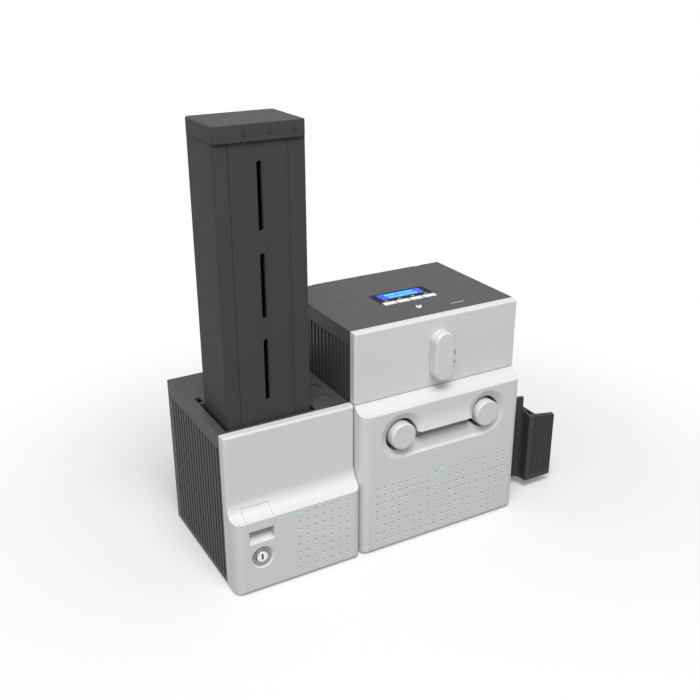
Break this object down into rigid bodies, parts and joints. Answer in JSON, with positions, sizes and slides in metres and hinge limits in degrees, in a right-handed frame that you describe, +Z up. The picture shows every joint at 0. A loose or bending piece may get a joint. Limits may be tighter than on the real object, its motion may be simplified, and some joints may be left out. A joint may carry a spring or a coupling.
{
  "type": "id card printer",
  "caption": "Desktop plastic card printer docked to a card hopper with a tall card tower; lifting top cover, sliding ribbon cassette, hinged hopper door and side output tray.",
  "frame": {"origin": "centre of the base, on the surface the rubber feet stand on", "axes": "+X from the hopper towards the output tray, +Y to the back, +Z up"},
  "size_m": [0.513, 0.2134, 0.5623],
  "materials": {
    "dark_shell": "fine-textured dark grey moulded plastic",
    "white_panel": "satin white moulded plastic",
    "tower_dark": "fine-textured dark grey profile",
    "tray_dark": "dark grey moulded plastic",
    "steel_sheet": "zinc-plated sheet steel",
    "rubber": "black rubber",
    "lamp_blue": "frosted light-blue lens",
    "chrome_lock": "bright plated metal",
    "ribbon": "thin coated film",
    "display_glass": "backlit blue display behind a clear window",
    "key_white": "gloss white keys",
    "board_green": "green solder mask",
    "black_plastic": "black moulded plastic",
    "aluminium": "milled aluminium",
    "ceramic_head": "glazed print line"
  },
  "bodies": {
    "housing": {"hopper_shell": "dark_shell", "hopper_base": "steel_sheet", "hopper_frame": "steel_sheet", "card_floor": "steel_sheet", "feet": "rubber", "tower_column": "tower_dark", "tower_back": "tower_dark", "tower_side": "tower_dark", "pick_motor": "steel_sheet", "pick_belt": "rubber", "printer_shell": "dark_shell", "printer_base": "steel_sheet", "lower_panel": "white_panel", "printer_lamp": "lamp_blue", "frame_front": "steel_sheet", "frame_rear": "steel_sheet", "head_bridge": "steel_sheet", "main_motor": "steel_sheet", "drive_belt": "rubber", "main_board": "board_green", "power_supply": "steel_sheet", "rear_sockets": "black_plastic", "output_tray": "tray_dark"},
    "hopper_door_body": {"hopper_door": "white_panel", "lock_barrel": "chrome_lock", "hopper_lamp": "lamp_blue"},
    "latch_lever_body": {"latch_lever": "white_panel"},
    "lock_plug_body": {"lock_plug": "chrome_lock"},
    "shutter_body": {"shutter": "tower_dark", "tower_cap": "tower_dark", "cap_screws": "black_plastic"},
    "card_weight_body": {"card_weight": "aluminium"},
    "pick_roller_body": {"pick_roller": "rubber"},
    "feed_roller_body": {"feed_roller": "rubber"},
    "pick_pulley_body": {"pick_pulley": "aluminium"},
    "platen_body": {"platen_roller": "rubber"},
    "entry_roller_body": {"entry_roller": "rubber"},
    "exit_roller_body": {"exit_roller": "rubber"},
    "drive_pulley_body": {"drive_pulley": "aluminium"},
    "cassette_body": {"cassette_front": "white_panel", "cassette_frame": "black_plastic", "ribbon_film": "ribbon"},
    "supply_body": {"supply_knob": "white_panel", "supply_spool": "ribbon"},
    "takeup_body": {"takeup_knob": "white_panel", "takeup_spool": "black_plastic"},
    "head_body": {"head_carriage": "aluminium", "print_head": "ceramic_head"},
    "cover_body": {"top_cover": "dark_shell", "cover_front": "white_panel", "display": "display_glass"},
    "latch_knob_body": {"latch_knob": "white_panel"},
    "key_1_body": {"key_1": "key_white"},
    "key_2_body": {"key_2": "key_white"},
    "key_3_body": {"key_3": "key_white"},
    "key_4_body": {"key_4": "key_white"},
    "round_button_body": {"round_button": "key_white"},
    "power_switch_body": {"power_switch": "black_plastic"}
  },
  "joints": [
    {"name": "door_open", "type": "hinge", "parent": "housing", "child": "hopper_door_body", "pos_m": [-0.0945, -0.08925, 0.053], "axis": [0, 0, 1], "range_deg": [0, 90]},
    {"name": "latch_pull", "type": "hinge", "parent": "hopper_door_body", "child": "latch_lever_body", "pos_m": [-0.221, -0.08125, 0.1122], "axis": [-1, 0, 0], "range_deg": [0, 15], "stiffness_Nm_per_rad": 0.05, "springref_deg": -17.19},
    {"name": "lock_turn", "type": "hinge", "parent": "hopper_door_body", "child": "lock_plug_body", "pos_m": [-0.2211, -0.08925, 0.0492], "axis": [0, 1, 0], "range_deg": [0, 90]},
    {"name": "shutter_lift", "type": "slide", "parent": "housing", "child": "shutter_body", "axis": [0, 0, 1], "range_m": [0, 0.35]},
    {"name": "weight_lift", "type": "slide", "parent": "housing", "child": "card_weight_body", "axis": [0, 0, 1], "range_m": [0, 0.36]},
    {"name": "pick_spin", "type": "hinge", "parent": "housing", "child": "pick_roller_body", "pos_m": [-0.2019, -0.01925, 0.11762], "axis": [0, 1, 0], "continuous": true},
    {"name": "feed_spin", "type": "hinge", "parent": "housing", "child": "feed_roller_body", "pos_m": [-0.11075, -0.01925, 0.12062], "axis": [0, 1, 0], "continuous": true},
    {"name": "pick_pulley_spin", "type": "hinge", "parent": "housing", "child": "pick_pulley_body", "pos_m": [-0.15632, -0.01925, 0.043], "axis": [0, 1, 0], "continuous": true},
    {"name": "platen_spin", "type": "hinge", "parent": "housing", "child": "platen_body", "pos_m": [0.043, -0.01925, 0.12262], "axis": [0, 1, 0], "continuous": true},
    {"name": "entry_spin", "type": "hinge", "parent": "housing", "child": "entry_roller_body", "pos_m": [-0.0525, -0.01925, 0.12462], "axis": [0, 1, 0], "continuous": true},
    {"name": "exit_spin", "type": "hinge", "parent": "housing", "child": "exit_roller_body", "pos_m": [0.1385, -0.01925, 0.12462], "axis": [0, 1, 0], "continuous": true},
    {"name": "drive_pulley_spin", "type": "hinge", "parent": "housing", "child": "drive_pulley_body", "pos_m": [-0.00067, -0.01925, 0.053], "axis": [0, 1, 0], "continuous": true},
    {"name": "cassette_slide", "type": "slide", "parent": "housing", "child": "cassette_body", "axis": [0, -1, 0], "range_m": [0, 0.095]},
    {"name": "supply_spin", "type": "hinge", "parent": "cassette_body", "child": "supply_body", "pos_m": [-0.0225, -0.06925, 0.1635], "axis": [0, 1, 0], "continuous": true},
    {"name": "takeup_spin", "type": "hinge", "parent": "cassette_body", "child": "takeup_body", "pos_m": [0.1085, -0.06925, 0.1635], "axis": [0, 1, 0], "continuous": true},
    {"name": "head_lift", "type": "slide", "parent": "housing", "child": "head_body", "axis": [0, 0, -1], "range_m": [0, 0.004], "stiffness_N_per_m": 2500, "springref_m": -0.004},
    {"name": "cover_open", "type": "hinge", "parent": "housing", "child": "cover_body", "pos_m": [0.043, 0.10275, 0.302], "axis": [-1, 0, 0], "range_deg": [0, 65]},
    {"name": "latch_turn", "type": "hinge", "parent": "cover_body", "child": "latch_knob_body", "pos_m": [0.043, -0.08125, 0.2556], "axis": [0, -1, 0], "range_deg": [0, 90]},
    {"name": "key_1_press", "type": "slide", "parent": "cover_body", "child": "key_1_body", "axis": [0, 0, -1], "range_m": [0, 0.001], "stiffness_N_per_m": 300, "springref_m": -0.001},
    {"name": "key_2_press", "type": "slide", "parent": "cover_body", "child": "key_2_body", "axis": [0, 0, -1], "range_m": [0, 0.001], "stiffness_N_per_m": 300, "springref_m": -0.001},
    {"name": "key_3_press", "type": "slide", "parent": "cover_body", "child": "key_3_body", "axis": [0, 0, -1], "range_m": [0, 0.001], "stiffness_N_per_m": 300, "springref_m": -0.001},
    {"name": "key_4_press", "type": "slide", "parent": "cover_body", "child": "key_4_body", "axis": [0, 0, -1], "range_m": [0, 0.001], "stiffness_N_per_m": 300, "springref_m": -0.001},
    {"name": "round_button_press", "type": "slide", "parent": "cover_body", "child": "round_button_body", "axis": [0, 0, -1], "range_m": [0, 0.001], "stiffness_N_per_m": 300, "springref_m": -0.001},
    {"name": "power_switch_rock", "type": "hinge", "parent": "housing", "child": "power_switch_body", "pos_m": [0.101, 0.10075, 0.081], "axis": [-1, 0, 0], "range_deg": [0, 14]}
  ],
  "couplings": [
    {"joint": "feed_spin", "follows": "pick_spin", "ratio": 1},
    {"joint": "pick_pulley_spin", "follows": "pick_spin", "ratio": 1.25},
    {"joint": "entry_spin", "follows": "platen_spin", "ratio": 1.25},
    {"joint": "exit_spin", "follows": "platen_spin", "ratio": 1.25},
    {"joint": "drive_pulley_spin", "follows": "platen_spin", "ratio": 1.3333}
  ]
}
